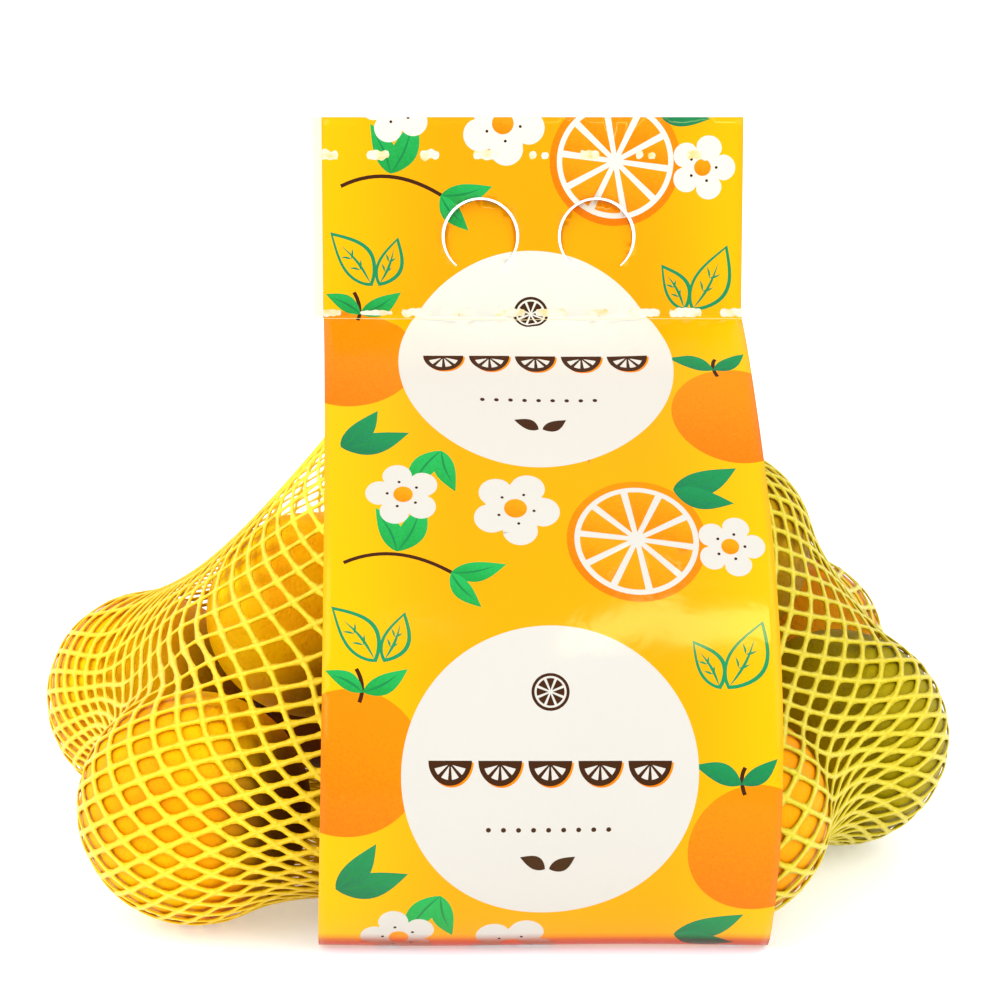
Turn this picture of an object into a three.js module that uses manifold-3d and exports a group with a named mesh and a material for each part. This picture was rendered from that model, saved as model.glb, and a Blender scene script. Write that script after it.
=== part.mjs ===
// A standing net of oranges: a knitted net tube full of fruit, held between two printed film bands.
// The bands are welded to each other above the fruit, where they make a flat header with two
// cut-out finger handles, and they fold under the fruit and meet below it.
// Millimetres, +Z up, front towards -Y, origin at the middle of the base.
import * as THREE from 'three';
import { mergeVertices } from 'three/addons/utils/BufferGeometryUtils.js';
import Module from 'manifold-3d';

const wasm = await Module();
wasm.setup();

// Driving dimensions
const FILM_WIDTH = 135;
const FILM_THICKNESS = 0.8;
const SELVEDGE = 2.8; // clear margin that the back band shows beyond the front band, on the left
const GAP = 0.3; // clearance between two pieces that touch
const HEADER_TOP = { y: 0, z: 235.5 };
const LOWER_WELD = { y: -8, z: 172 };
const BASE_SEAM_Y = -28;
const BAND_X = 10.4; // middle of the header, seen from the front
const BAND_DRIFT = { width: 4.9, turns: 0.83, lag: 0.8 }; // how the bands wander sideways below
const FRONT = { bulgeY: -130, bulgeZ: 40, shoulderY: -72, shoulderZ: 138, browZ: 95, foldY: -106 };
const BACK = { bulgeY: 74, bulgeZ: 42, shoulderY: 38, shoulderZ: 145, browZ: 95, foldY: 50 };
const TUCK = 0.6; // share of the way back to the fold at which a band lies flat on the floor
const ROOF_STEPS = 18;
const FOLD_STEPS = 9;

const HANDLE = { spacing: 37.3, offset: 2.2, z: 197.6, radius: 12, kerf: 1.3, openAngle: 80 };
const WELD_MARK = { width: 6.5, height: 2.5, depth: 0.3, clear: 1, pitch: 17, count: 8 };
const UPPER_WELD_BELOW_TOP = 12;
const LOWER_MARK_ABOVE_WELD = 2.2;
const CUTTER_REACH = 8; // further than the header is deep, either way
const ARC_SEGMENTS = 28;

const NET_THICKNESS = 0.7;
const NET_COLUMNS = 72;
const NET_ROWS = 36;
const NECK = { halfWidth: 42, halfDepth: 2, z: 168, behindWeld: 0.5 };
const BELLY = { halfWidth: 168, halfDepth: 122, x: -2, y: -25, squareness: 0.7, fullness: 2.2, rise: 0.8 };
const SHOULDER = { share: 0.3, z: 130 }; // share of the way down the slack tube, and its height
const FOOT = { share: 0.75, halfWidth: 62, halfDepth: 2, x: 14, z: 1.2 };
const UNDER_FILM = 13; // how far beyond a band's edges it still holds the net back
const HOOP = { pull: 0.8, limit: 12.5 }; // threads round the pack, and their length in mm
const LENGTH = { pull: 0.5, limit: 9.2 }; // threads from neck to foot
const EASE = 0.5; // share of each move that is made in one round
const ROUNDS = 500;

// The oranges: centre and radius. They are uneven, and they push the net out into its lumps.
const ORANGES = [
  { name: 'front left', x: -93, y: -92, z: 36.5, r: 35.5 },
  { name: 'front middle', x: -14, y: -92, z: 35.5, r: 34 },
  { name: 'front right', x: 66, y: -94, z: 35.7, r: 34.5 },
  { name: 'far left', x: -118, y: 6, z: 38, r: 35 },
  { name: 'far right', x: 111, y: -30, z: 37, r: 35 },
  { name: 'back left', x: -56, y: 38, z: 35.5, r: 34.5 },
  { name: 'back right', x: 100, y: 38, z: 44, r: 34 },
  { name: 'upper left', x: -62, y: -22, z: 76, r: 34 },
  { name: 'upper middle', x: 10, y: -62.5, z: 92.5, r: 34 },
  { name: 'upper right', x: 70, y: 0, z: 92, r: 33.5 },
];

// ---------------------------------------------------------------- the film bands, seen from the side

// The bands run straight down the header and wander a little to the right over the fruit.
function bandCentre(z) {
  const down = THREE.MathUtils.clamp((LOWER_WELD.z - z) / LOWER_WELD.z, 0, 1);
  return BAND_X + BAND_DRIFT.width * Math.sin(Math.PI * BAND_DRIFT.turns * down ** BAND_DRIFT.lag);
}

// Inner face of one band below the header: from the weld over the shoulder to the bulge,
// round the fold at the floor and along the floor to the seam. Points are (y, z).
function bodyProfile(side, seamY) {
  const floor = FILM_THICKNESS;
  const roof = new THREE.CubicBezierCurve(
    new THREE.Vector2(LOWER_WELD.y, LOWER_WELD.z),
    new THREE.Vector2(side.shoulderY, side.shoulderZ),
    new THREE.Vector2(side.bulgeY, side.browZ),
    new THREE.Vector2(side.bulgeY, side.bulgeZ),
  );
  const tuck = (side.bulgeY - side.foldY) * TUCK;
  const fold = new THREE.CubicBezierCurve(
    new THREE.Vector2(side.bulgeY, side.bulgeZ),
    new THREE.Vector2(side.bulgeY, side.bulgeZ / 2),
    new THREE.Vector2(side.foldY + tuck, floor),
    new THREE.Vector2(side.foldY, floor),
  );
  const points = [...roof.getSpacedPoints(ROOF_STEPS), ...fold.getSpacedPoints(FOLD_STEPS).slice(1)];
  points.push(new THREE.Vector2(seamY, floor));
  return points;
}

const frontBody = bodyProfile(FRONT, BASE_SEAM_Y - GAP / 2);
const backBody = bodyProfile(BACK, BASE_SEAM_Y + GAP / 2);

// ---------------------------------------------------------------- the net, drawn tight over the fruit

// Half planes of the film, which hold the net back where a band lies over it.
function filmPlanes() {
  const outline = [...frontBody, ...backBody.slice(1).reverse()];
  return outline.map((start, i) => {
    const end = outline[(i + 1) % outline.length];
    const along = end.clone().sub(start).normalize();
    return { start, normal: new THREE.Vector2(-along.y, along.x).negate() };
  });
}

// The tube before it is drawn tight: a flat neck, a wide belly clear of all fruit, a flat foot.
function slackTube() {
  const bulgeOut = (share) => Math.sign(share) * Math.abs(share) ** BELLY.squareness;
  const heightAt = (t) => {
    return t < SHOULDER.share
      ? THREE.MathUtils.mapLinear(t, 0, SHOULDER.share, NECK.z, SHOULDER.z)
      : Math.max(FOOT.z, THREE.MathUtils.mapLinear(t, SHOULDER.share, FOOT.share, SHOULDER.z, FOOT.z));
  };
  const rows = [];
  for (let j = 0; j <= NET_ROWS; j++) {
    const t = j / NET_ROWS;
    const swell = Math.min(1, BELLY.fullness * Math.sin(Math.PI * t) ** BELLY.rise);
    const row = [];
    for (let i = 0; i < NET_COLUMNS; i++) {
      const turn = 2 * Math.PI * i / NET_COLUMNS;
      const c = Math.cos(turn);
      const s = Math.sin(turn);
      const neckY = LOWER_WELD.y - NECK.behindWeld - NECK.halfDepth * s;
      const neck = new THREE.Vector2(BAND_X - NECK.halfWidth * c, neckY);
      const foot = new THREE.Vector2(FOOT.x - FOOT.halfWidth * c, BASE_SEAM_Y - FOOT.halfDepth * s);
      const belly = new THREE.Vector2(
        BELLY.x - bulgeOut(c) * BELLY.halfWidth,
        BELLY.y - bulgeOut(s) * BELLY.halfDepth,
      );
      const at = neck.lerp(foot, t).lerp(belly, swell);
      row.push(new THREE.Vector3(at.x, at.y, heightAt(t)));
    }
    rows.push(row);
  }
  return rows;
}

// Keeps a point of the net outside every orange, behind the film and above the floor.
function keepClear(point, planes) {
  if (Math.abs(point.x - bandCentre(point.z)) < FILM_WIDTH / 2 + UNDER_FILM) {
    for (const { start, normal } of planes) {
      const out = (point.y - start.x) * normal.x + (point.z - start.y) * normal.y + NET_THICKNESS;
      if (out > 0) {
        point.y -= out * normal.x;
        point.z -= out * normal.y;
      }
    }
  }
  for (const orange of ORANGES) {
    const reach = orange.r + NET_THICKNESS;
    const away = new THREE.Vector3(point.x - orange.x, point.y - orange.y, point.z - orange.z);
    if (away.lengthSq() < reach * reach) {
      away.setLength(reach);
      point.set(orange.x + away.x, orange.y + away.y, orange.z + away.z);
    }
  }
  point.z = Math.max(point.z, FOOT.z);
}

// Pulls two points of the net together where the thread between them is longer than it can be.
function shorten(a, b, limit, aFree, bFree) {
  const excess = a.distanceTo(b) - limit;
  if (excess <= 0) {
    return;
  }
  const pull = b.clone().sub(a).setLength(excess / 2);
  if (aFree) {
    a.add(pull);
  }
  if (bFree) {
    b.sub(pull);
  }
}

// Draws the tube tight: each point moves to the middle of its neighbours, no thread grows past
// its length, and the fruit, the film and the floor stand in the way.
function drawTight(rows) {
  const planes = filmPlanes();
  const last = rows.length - 1;
  for (let round = 0; round < ROUNDS; round++) {
    const before = rows.map((row) => row.map((p) => p.clone()));
    for (let j = 1; j < last; j++) {
      for (let i = 0; i < NET_COLUMNS; i++) {
        const middle = new THREE.Vector3();
        middle.addScaledVector(before[j][(i + 1) % NET_COLUMNS], HOOP.pull);
        middle.addScaledVector(before[j][(i + NET_COLUMNS - 1) % NET_COLUMNS], HOOP.pull);
        middle.addScaledVector(before[j - 1][i], LENGTH.pull);
        middle.addScaledVector(before[j + 1][i], LENGTH.pull);
        middle.divideScalar(2 * (HOOP.pull + LENGTH.pull));
        rows[j][i].lerp(middle, EASE);
      }
    }
    for (let j = 0; j < last; j++) {
      for (let i = 0; i < NET_COLUMNS; i++) {
        shorten(rows[j][i], rows[j + 1][i], LENGTH.limit, j > 0, j + 1 < last);
        shorten(rows[j][i], rows[j][(i + 1) % NET_COLUMNS], HOOP.limit, j > 0, j > 0);
      }
    }
    for (let j = 1; j < last; j++) {
      rows[j].forEach((point) => keepClear(point, planes));
    }
  }
  return rows;
}

// Closes a stack of rings into one solid, with a fan over its first and its last ring.
function solidFromRings(rings) {
  const positions = [];
  const index = [];
  const n = rings[0].length;
  const middleOf = (ring) => {
    return ring.reduce((sum, p) => sum.add(p), new THREE.Vector3()).divideScalar(n);
  };
  rings.flat().forEach((p) => positions.push(p.x, p.y, p.z));
  for (let j = 0; j + 1 < rings.length; j++) {
    for (let i = 0; i < n; i++) {
      const next = (i + 1) % n;
      const [a, b, c, d] = [j * n + i, j * n + next, (j + 1) * n + next, (j + 1) * n + i];
      index.push(a, d, b, b, d, c);
    }
  }
  const capTop = rings.length * n;
  const capBottom = capTop + 1;
  const lastRing = (rings.length - 1) * n;
  [middleOf(rings[0]), middleOf(rings.at(-1))].forEach((p) => positions.push(p.x, p.y, p.z));
  for (let i = 0; i < n; i++) {
    const next = (i + 1) % n;
    index.push(capTop, i, next);
    index.push(capBottom, lastRing + next, lastRing + i);
  }
  return indexedGeometry(positions, index);
}

function indexedGeometry(positions, index) {
  const geometry = new THREE.BufferGeometry();
  geometry.setAttribute('position', new THREE.Float32BufferAttribute(positions, 3));
  geometry.setIndex(index);
  geometry.computeVertexNormals();
  return geometry;
}

// ---------------------------------------------------------------- the film bands as thin solids

// Inner face of a whole band: header first, then the body.
function bandProfile(body, towards) {
  const top = new THREE.Vector2(HEADER_TOP.y + towards * GAP / 2, HEADER_TOP.z);
  const weld = new THREE.Vector2(LOWER_WELD.y + towards * GAP / 2, LOWER_WELD.z);
  return [top, weld, ...body.slice(1)];
}

// A band is its inner face, offset outwards by its thickness, from its left to its right edge.
function bandSolid(profile, towards, leftMargin) {
  const outer = profile.map((point, i) => {
    const before = profile[Math.max(i - 1, 0)];
    const after = profile[Math.min(i + 1, profile.length - 1)];
    const back = point.clone().sub(before).normalize();
    const ahead = after.clone().sub(point).normalize();
    const along = back.add(ahead).normalize();
    const out = new THREE.Vector2(along.y, -along.x).multiplyScalar(-towards);
    return out.multiplyScalar(FILM_THICKNESS).add(point);
  });
  const section = profile.map((inner, i) => [inner, outer[i]]);
  const rings = section.map(([inner, face]) => {
    const centre = bandCentre(inner.y);
    const left = centre - FILM_WIDTH / 2 - leftMargin;
    const right = centre + FILM_WIDTH / 2;
    const corners = [[left, inner], [right, inner], [right, face], [left, face]];
    const ring = corners.map(([x, p]) => new THREE.Vector3(x, p.x, p.y));
    return towards < 0 ? ring.reverse() : ring;
  });
  return solidFromRings(rings);
}

function toManifold(geometry) {
  const bare = geometry.clone();
  bare.deleteAttribute('normal');
  bare.deleteAttribute('uv');
  const merged = mergeVertices(bare, 1e-4);
  return new wasm.Manifold(new wasm.Mesh({
    numProp: 3,
    vertProperties: new Float32Array(merged.attributes.position.array),
    triVerts: new Uint32Array(merged.index.array),
  }));
}

function fromManifold(solid) {
  const mesh = solid.getMesh();
  return indexedGeometry(Array.from(mesh.vertProperties), Array.from(mesh.triVerts));
}

// Where the header lies at a height: it leans back a little towards its top.
function headerY(z) {
  return THREE.MathUtils.mapLinear(z, LOWER_WELD.z, HEADER_TOP.z, LOWER_WELD.y, HEADER_TOP.y);
}

// A shape drawn in the header's plane, as a cutter that reaches from near to far in depth.
function headerCutter(shape, x, z, near, far) {
  const geometry = new THREE.ExtrudeGeometry(shape, {
    depth: far - near,
    bevelEnabled: false,
    curveSegments: ARC_SEGMENTS,
  });
  geometry.rotateX(Math.PI / 2);
  geometry.translate(x, headerY(z) + far, z);
  return toManifold(geometry);
}

// A finger handle is a C-shaped cut. Its flap stays hinged at the opening of the C, below.
function handleShape() {
  const half = THREE.MathUtils.degToRad(HANDLE.openAngle / 2);
  const start = -Math.PI / 2 + half;
  const end = 1.5 * Math.PI - half;
  const shape = new THREE.Shape();
  shape.absarc(0, 0, HANDLE.radius + HANDLE.kerf / 2, start, end, false);
  shape.absarc(0, 0, HANDLE.radius - HANDLE.kerf / 2, end, start, true);
  shape.closePath();
  return shape;
}

function weldMarkShape() {
  const { width, height } = WELD_MARK;
  const shape = new THREE.Shape();
  shape.moveTo(-width / 2, -height / 2);
  shape.lineTo(width / 2, -height / 2);
  shape.lineTo(width / 2, height / 2);
  shape.lineTo(-width / 2, height / 2);
  shape.closePath();
  return shape;
}

// Handles go right through the band. Weld marks are pressed into its outer face, in two rows.
function cutHeader(band, towards) {
  let solid = toManifold(band);
  const centre = BAND_X + HANDLE.offset;
  for (const sign of [-1, 1]) {
    const x = centre + sign * HANDLE.spacing / 2;
    solid = solid.subtract(headerCutter(handleShape(), x, HANDLE.z, -CUTTER_REACH, CUTTER_REACH));
  }
  const face = towards * (GAP / 2 + FILM_THICKNESS);
  const bottom = face - towards * WELD_MARK.depth;
  const above = face + towards * WELD_MARK.clear;
  const [near, far] = [bottom, above].sort((a, b) => a - b);
  const rows = [HEADER_TOP.z - UPPER_WELD_BELOW_TOP, LOWER_WELD.z + LOWER_MARK_ABOVE_WELD];
  for (const z of rows) {
    for (let k = 0; k < WELD_MARK.count; k++) {
      const x = BAND_X + (k - (WELD_MARK.count - 1) / 2) * WELD_MARK.pitch;
      solid = solid.subtract(headerCutter(weldMarkShape(), x, z, near, far));
    }
  }
  return fromManifold(solid);
}

// ---------------------------------------------------------------- the pack

function piece(name, geometry, colour, roughness) {
  const material = new THREE.MeshStandardMaterial({ color: colour, roughness, metalness: 0 });
  const mesh = new THREE.Mesh(geometry, material);
  mesh.name = name;
  return mesh;
}

function band(body, towards, leftMargin) {
  return cutHeader(bandSolid(bandProfile(body, towards), towards, leftMargin), towards);
}

const YARN = { colour: 0xf6c90e, roughness: 0.55 };
const FILM = { colour: 0xffc400, roughness: 0.25 };
const net = solidFromRings(drawTight(slackTube()));
const frontBand = band(frontBody, -1, 0);
const backBand = band(backBody, 1, SELVEDGE);

const pack = new THREE.Group();
pack.add(piece('net_of_oranges', net, YARN.colour, YARN.roughness));
pack.add(piece('front_film', frontBand, FILM.colour, FILM.roughness));
pack.add(piece('back_film', backBand, FILM.colour, FILM.roughness));

// The origin is the middle of the base.
const bounds = new THREE.Box3().setFromObject(pack);
const middle = bounds.getCenter(new THREE.Vector3());
pack.position.set(-middle.x, -middle.y, -bounds.min.z);

export default pack;
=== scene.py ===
"""A standing net of oranges: fruit in a yellow knitted net, between a front and a back film band."""
import math

import bpy
import numpy as np
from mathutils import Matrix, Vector, noise
from mathutils.geometry import delaunay_2d_cdt


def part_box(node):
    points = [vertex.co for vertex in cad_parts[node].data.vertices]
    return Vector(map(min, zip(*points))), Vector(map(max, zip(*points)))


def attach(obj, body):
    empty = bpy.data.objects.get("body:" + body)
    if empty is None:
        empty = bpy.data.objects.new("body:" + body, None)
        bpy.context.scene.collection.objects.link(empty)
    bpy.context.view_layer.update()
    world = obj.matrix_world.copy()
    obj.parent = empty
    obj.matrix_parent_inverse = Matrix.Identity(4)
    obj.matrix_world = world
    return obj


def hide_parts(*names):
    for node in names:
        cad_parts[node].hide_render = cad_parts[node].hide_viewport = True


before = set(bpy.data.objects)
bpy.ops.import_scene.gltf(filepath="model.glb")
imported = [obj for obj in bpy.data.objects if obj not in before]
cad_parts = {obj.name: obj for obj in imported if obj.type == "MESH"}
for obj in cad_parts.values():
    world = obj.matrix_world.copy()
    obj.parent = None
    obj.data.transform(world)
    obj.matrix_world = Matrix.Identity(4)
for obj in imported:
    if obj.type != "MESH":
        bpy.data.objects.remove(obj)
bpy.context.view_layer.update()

# ------------------------------------------------------------------ the oranges
# Ten waxed table oranges of about 150 g, loose in the net. Each is uneven, a little flatter from
# stalk to blossom end, with oil pores all over its rind and a dry green star where the stalk was.

MM = 0.001
ORANGES = {
    # name: (centre x, y, z and radius in mm, stalk direction, rind, riper rind)
    "front_left": (-93, -92, 36.5, 35.5, (-0.3, 0.9, 0.4), "#F2BC00", "#E68A00"),
    # painted shade: a dark brown rind, for the deep gap between the fruit
    "front_middle": (-14, -92, 35.5, 34.0, (0.8, 0.2, 0.5), "#5A2E04", "#442002"),
    "front_right": (66, -94, 35.7, 34.5, (0.2, 0.4, 0.9), "#F4A400", "#E48A00"),
    "far_left": (-118, 6, 38.0, 35.0, (0.2, 0.8, 0.6), "#FFD000", "#F49400"),
    "far_right": (111, -30, 37.0, 35.0, (0.5, 0.8, 0.3), "#AC9800", "#8A7C00"),
    # painted shade: a dark brown rind, for the deep gap between the fruit
    "back_left": (-56, 38, 35.5, 34.5, (-0.6, 0.3, 0.7), "#6E3C06", "#5A2E04"),
    "back_right": (100, 38, 44.0, 34.0, (0.7, 0.6, 0.4), "#F0A000", "#E08A00"),
    "upper_left": (-62, -22, 76.0, 34.0, (0.1, 0.7, 0.7), "#FFDC00", "#FAB000"),
    "upper_middle": (10, -62.5, 92.5, 34.0, (0.0, 0.3, 0.9), "#DC9C00", "#CC8400"),
    "upper_right": (70, 0, 92.0, 33.5, (-0.4, 0.8, 0.5), "#CC9C08", "#AC8408"),
}
# Painted shade: the way that a fruit turns its side that lies in the shade of the others and the film, and
# how dark that side is painted.
SHADED_SIDES = {
    "front_left": ((0.89, -0.43, 0.12), 0.92),
    "far_left": ((0.85, -0.40, 0.30), 0.7),
    "upper_left": ((0.40, -0.60, -0.70), 0.62),
}
BAND_WIDTH = 135
HEADER_X = 10.4  # the header's middle
BULGE_Y = -130  # the furthest that the front band stands forward
FILM_SOLID = 0.8  # the film's thickness in the CAD

# The lists here are in the pack's own millimetres. The frame says where the pack stands.
film_low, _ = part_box("front_film")
PACK_AT = Vector((
    film_low.x / MM - (HEADER_X - BAND_WIDTH / 2),
    film_low.y / MM - (BULGE_Y - FILM_SOLID),
    0,
))


def placed(points):
    """Pack millimetres to metres in the frame."""
    return (np.asarray(points, float) + np.array(PACK_AT)) * MM


def new_piece(name, points, faces, replaces, materials):
    """A mesh piece at its place in the frame, riding with the pack."""
    mesh = bpy.data.meshes.new(name)
    mesh.from_pydata(placed(points).tolist(), [], faces)
    mesh.update()
    mesh.polygons.foreach_set("use_smooth", [True] * len(mesh.polygons))
    piece = bpy.data.objects.new(name, mesh)
    bpy.context.scene.collection.objects.link(piece)
    for material in materials:
        mesh.materials.append(material)
    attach(piece, "root")
    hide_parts(replaces)
    return piece


def linear(colour):
    """An sRGB hex colour as the linear values that a shader takes."""
    channels = [int(colour[i:i + 2], 16) / 255 for i in (1, 3, 5)]
    return [c / 12.92 if c <= 0.04045 else ((c + 0.055) / 1.055) ** 2.4 for c in channels] + [1.0]


def add(tree, kind, inputs=None, **settings):
    """Adds a node with its settings. An input is a value, or the socket that feeds it."""
    node = tree.nodes.new(kind)
    for key, value in settings.items():
        setattr(node, key, value)
    for key, value in (inputs or {}).items():
        if isinstance(value, bpy.types.NodeSocket):
            tree.links.new(value, node.inputs[key])
        else:
            node.inputs[key].default_value = value
    return node


def new_surface(name, **inputs):
    """A material with one Principled shader. Returns the material, its nodes and the shader."""
    material = bpy.data.materials.new(name)
    material.use_nodes = True
    tree = material.node_tree
    tree.nodes.clear()
    shader = add(tree, "ShaderNodeBsdfPrincipled", inputs)
    add(tree, "ShaderNodeOutputMaterial", {"Surface": shader.outputs[0]})
    return material, tree, shader


def per_metre(millimetres):
    """Texture scale, in object coordinates, for a pattern that repeats every so many mm."""
    return 1000 / millimetres


PORE_PITCH = 1.5  # mm from one oil pore to the next
RIPE_PATCH = 32  # mm across a riper patch
PORE_TINT = 0.35  # how much of the riper colour a pore takes
# the green of the stalk end, and the brown of the painted shade between the fruit
CALYX_GREEN, SHADE_BROWN = "#8F8A1C", "#4A2202"


def rind(name, colour, riper):
    """Waxed orange rind: a satin skin with fine oil pores, riper in patches, green at the stalk, and
    browner on its side in shade, as painted shade.
    """
    material, tree, shader = new_surface(name, **{
        "Roughness": 0.42, "IOR": 1.35, "Specular IOR Level": 0.14, "Specular Tint": (1.0, 0.8, 0.4, 1.0)})
    where = add(tree, "ShaderNodeTexCoord").outputs["Object"]
    patches = add(tree, "ShaderNodeTexNoise", {"Vector": where, "Scale": per_metre(RIPE_PATCH),
                                               "Detail": 3.0})
    spread = add(tree, "ShaderNodeMapRange", {"Value": patches.outputs["Fac"], "From Min": 0.35,
                                              "From Max": 0.68})
    tone = add(tree, "ShaderNodeMix", {"Factor": spread.outputs[0], "A": linear(colour),
                                       "B": linear(riper)}, data_type="RGBA")
    pores = add(tree, "ShaderNodeTexVoronoi", {"Vector": where, "Scale": per_metre(PORE_PITCH)})
    dimple = add(tree, "ShaderNodeMapRange", {"Value": pores.outputs["Distance"], "From Min": 0.05,
                                              "From Max": 0.5})
    pored = add(tree, "ShaderNodeMix", {"Factor": dimple.outputs[0], "B": tone.outputs["Result"],
                                        "A": linear(riper)}, data_type="RGBA")
    faint = add(tree, "ShaderNodeMix", {"Factor": PORE_TINT, "A": tone.outputs["Result"],
                                        "B": pored.outputs["Result"]}, data_type="RGBA")
    stalk = add(tree, "ShaderNodeAttribute", attribute_name="stalk")
    end = add(tree, "ShaderNodeMix", {"Factor": stalk.outputs["Fac"], "A": faint.outputs["Result"],
                                      "B": linear(CALYX_GREEN)}, data_type="RGBA")
    # painted shade on the side that lies against the others
    painted_shade = add(tree, "ShaderNodeAttribute", attribute_name="painted_shade")
    shaded_tone = add(tree, "ShaderNodeMix", {"Factor": painted_shade.outputs["Fac"], "A": end.outputs["Result"],
                                           "B": linear(SHADE_BROWN)}, data_type="RGBA")
    tree.links.new(shaded_tone.outputs["Result"], shader.inputs["Base Color"])
    bump = add(tree, "ShaderNodeBump", {"Height": dimple.outputs[0], "Strength": 0.55,
                                        "Distance": 0.22 * MM})
    tree.links.new(bump.outputs[0], shader.inputs["Normal"])
    return material


def unit_sphere(rings=72, segments=96):
    """A sphere of quads, with its poles along Z: points and faces."""
    points = [(0, 0, 1)]
    for ring in range(1, rings):
        polar = math.pi * ring / rings
        for step in range(segments):
            turn = 2 * math.pi * step / segments
            points.append((math.sin(polar) * math.cos(turn), math.sin(polar) * math.sin(turn),
                           math.cos(polar)))
    points.append((0, 0, -1))
    faces = [(0, 1 + s, 1 + (s + 1) % segments) for s in range(segments)]
    for ring in range(rings - 2):
        first = 1 + ring * segments
        for s in range(segments):
            t = (s + 1) % segments
            faces.append((first + s, first + segments + s, first + segments + t, first + t))
    last = 1 + (rings - 2) * segments
    faces += [(last + (s + 1) % segments, last + s, len(points) - 1) for s in range(segments)]
    return points, faces


LUMPS, LUMP_HEIGHT = 1.3, 0.010  # waves over the radius, and height as a share of it
KNOBS, KNOB_HEIGHT = 4.2, 0.003
STALK_DIP, STALK_DEPTH = 0.16, 0.035  # reach in radians, and depth as a share of the radius
NAVEL_DIP, NAVEL_DEPTH = 0.10, 0.015
MEAN_HEIGHT = 0.992  # of the rind, as a share of the radius
FLATTER = 0.012  # share of the radius by which the two ends are flatter
GREEN_REACH, GREEN_SHARE = 0.30, 0.75  # reach of the green at the stalk in radians, and its strength
SHADE_FROM, SHADE_OVER = 0.55, 0.42  # cosine at the edge of the painted shade, and its rise from there to full


def rind_height(number, direction, from_stalk):
    """How far out an orange's rind is in one direction, as a share of its radius. The stalk is up."""
    lumps = noise.noise(direction * LUMPS + Vector((number * 7.1, 0, 0)))
    knobs = noise.noise(direction * KNOBS + Vector((0, number * 5.3, 0)))
    dip = math.exp(-(from_stalk / STALK_DIP) ** 2) * STALK_DEPTH
    navel = math.exp(-((math.pi - from_stalk) / NAVEL_DIP) ** 2) * NAVEL_DEPTH
    return (MEAN_HEIGHT + LUMP_HEIGHT * lumps + KNOB_HEIGHT * knobs - dip - navel
            - FLATTER * direction.z ** 2)


def stalk_turn(stalk_way):
    """The turn from straight up to the way that an orange's stalk points."""
    return Vector((0, 0, 1)).rotation_difference(Vector(stalk_way).normalized())


sphere_points, sphere_faces = unit_sphere()
for number, (name, (x, y, z, radius, stalk_way, colour, riper)) in enumerate(ORANGES.items()):
    turn = stalk_turn(stalk_way)
    shaded_way, shade_share = SHADED_SIDES.get(name, ((0, 0, 1), 0))
    shaded_way = Vector(shaded_way).normalized()
    points, greening, shading = [], [], []
    for p in sphere_points:
        direction = Vector(p)
        from_stalk = math.acos(max(-1, min(1, direction.z)))
        size = radius * rind_height(number, direction, from_stalk)
        points.append(Vector((x, y, z)) + turn @ (direction * size))
        greening.append(GREEN_SHARE * math.exp(-(from_stalk / GREEN_REACH) ** 2))
        # painted shade: darker on the side that lies against the others
        facing = min(1, max(0, ((turn @ direction).dot(shaded_way) - SHADE_FROM) / SHADE_OVER))
        shading.append(shade_share * facing * facing * (3 - 2 * facing))
    orange = new_piece("orange_" + name, points, sphere_faces, "net_of_oranges",
                       [rind("waxed_rind_" + name, colour, riper)])
    orange.data.attributes.new("stalk", "FLOAT", "POINT").data.foreach_set("value", greening)
    orange.data.attributes.new("painted_shade", "FLOAT", "POINT").data.foreach_set("value", shading)

# ------------------------------------------------------------------ the stalk scars
# What is left of the calyx sits in the dip of each orange: a small star of five dry sepals, matt,
# grey-green and a little rough.

SEPALS = 5
SEPAL_POINTS = 0.35  # how far the sepals' tips stand out, as a share of the star's reach
STAR_STEPS = SEPALS * 4
STAR_RINGS = [(0.0, 0.9), (1.3, 0.8), (3.0, 0.25), (3.2, -0.6)]  # mm from the stalk, and mm up
STAR_SEAT = 0.950  # share of the orange's radius at which the star sits

star_points, star_faces = [], []
for x, y, z, radius, stalk_way, _, _ in ORANGES.values():
    turn = stalk_turn(stalk_way)
    for level, (reach, lift) in enumerate(STAR_RINGS):
        ring = len(star_points)
        for step in range(STAR_STEPS):
            angle = 2 * math.pi * step / STAR_STEPS
            spike = 1 + (SEPAL_POINTS * math.cos(SEPALS * angle) if level > 1 else 0)
            out = Vector((reach * spike * math.cos(angle), reach * spike * math.sin(angle),
                          radius * STAR_SEAT + lift))
            star_points.append(Vector((x, y, z)) + turn @ out)
        if level > 0:
            for a in range(ring - STAR_STEPS, ring):
                b = a + 1 if a + 1 < ring else ring - STAR_STEPS
                star_faces.append((a, a + STAR_STEPS, b + STAR_STEPS, b))

dry, tree, shader = new_surface("dry_calyx", **{"Roughness": 0.85})
where = add(tree, "ShaderNodeTexCoord").outputs["Object"]
grain = add(tree, "ShaderNodeTexNoise", {"Vector": where, "Scale": per_metre(1.2), "Detail": 4.0})
tone = add(tree, "ShaderNodeMix", {"Factor": grain.outputs["Fac"], "A": linear("#4F5A22"),
                                   "B": linear("#8A8244")}, data_type="RGBA")
tree.links.new(tone.outputs["Result"], shader.inputs["Base Color"])
new_piece("stalk_scars", star_points, star_faces, "net_of_oranges", [dry])

# ------------------------------------------------------------------ the film bands' run
# Two printed polyethylene bands, front and back. They are welded to each other in the header,
# part at the lower weld, go over the fruit and fold under it to a seam on the floor.

# places on the bands' run, as (y, z), or as one of the two
HEADER_TOP = (0.0, 235.5)
LOWER_WELD = (-8.0, 172.0)
SEAM_Y = -28.0
ON_FLOOR = 0.4
FRONT = {"bulge": (BULGE_Y, 40), "shoulder": (-72, 138), "brow": 95, "fold": -113}
BACK = {"bulge": (74, 42), "shoulder": (38, 145), "brow": 95, "fold": 50}
ROOF_STEPS, TUCK_STEPS = 160, 60  # points of the run over the fruit, and in under it
WANDER = 4.9  # mm that the bands stray to the right over the fruit


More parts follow.
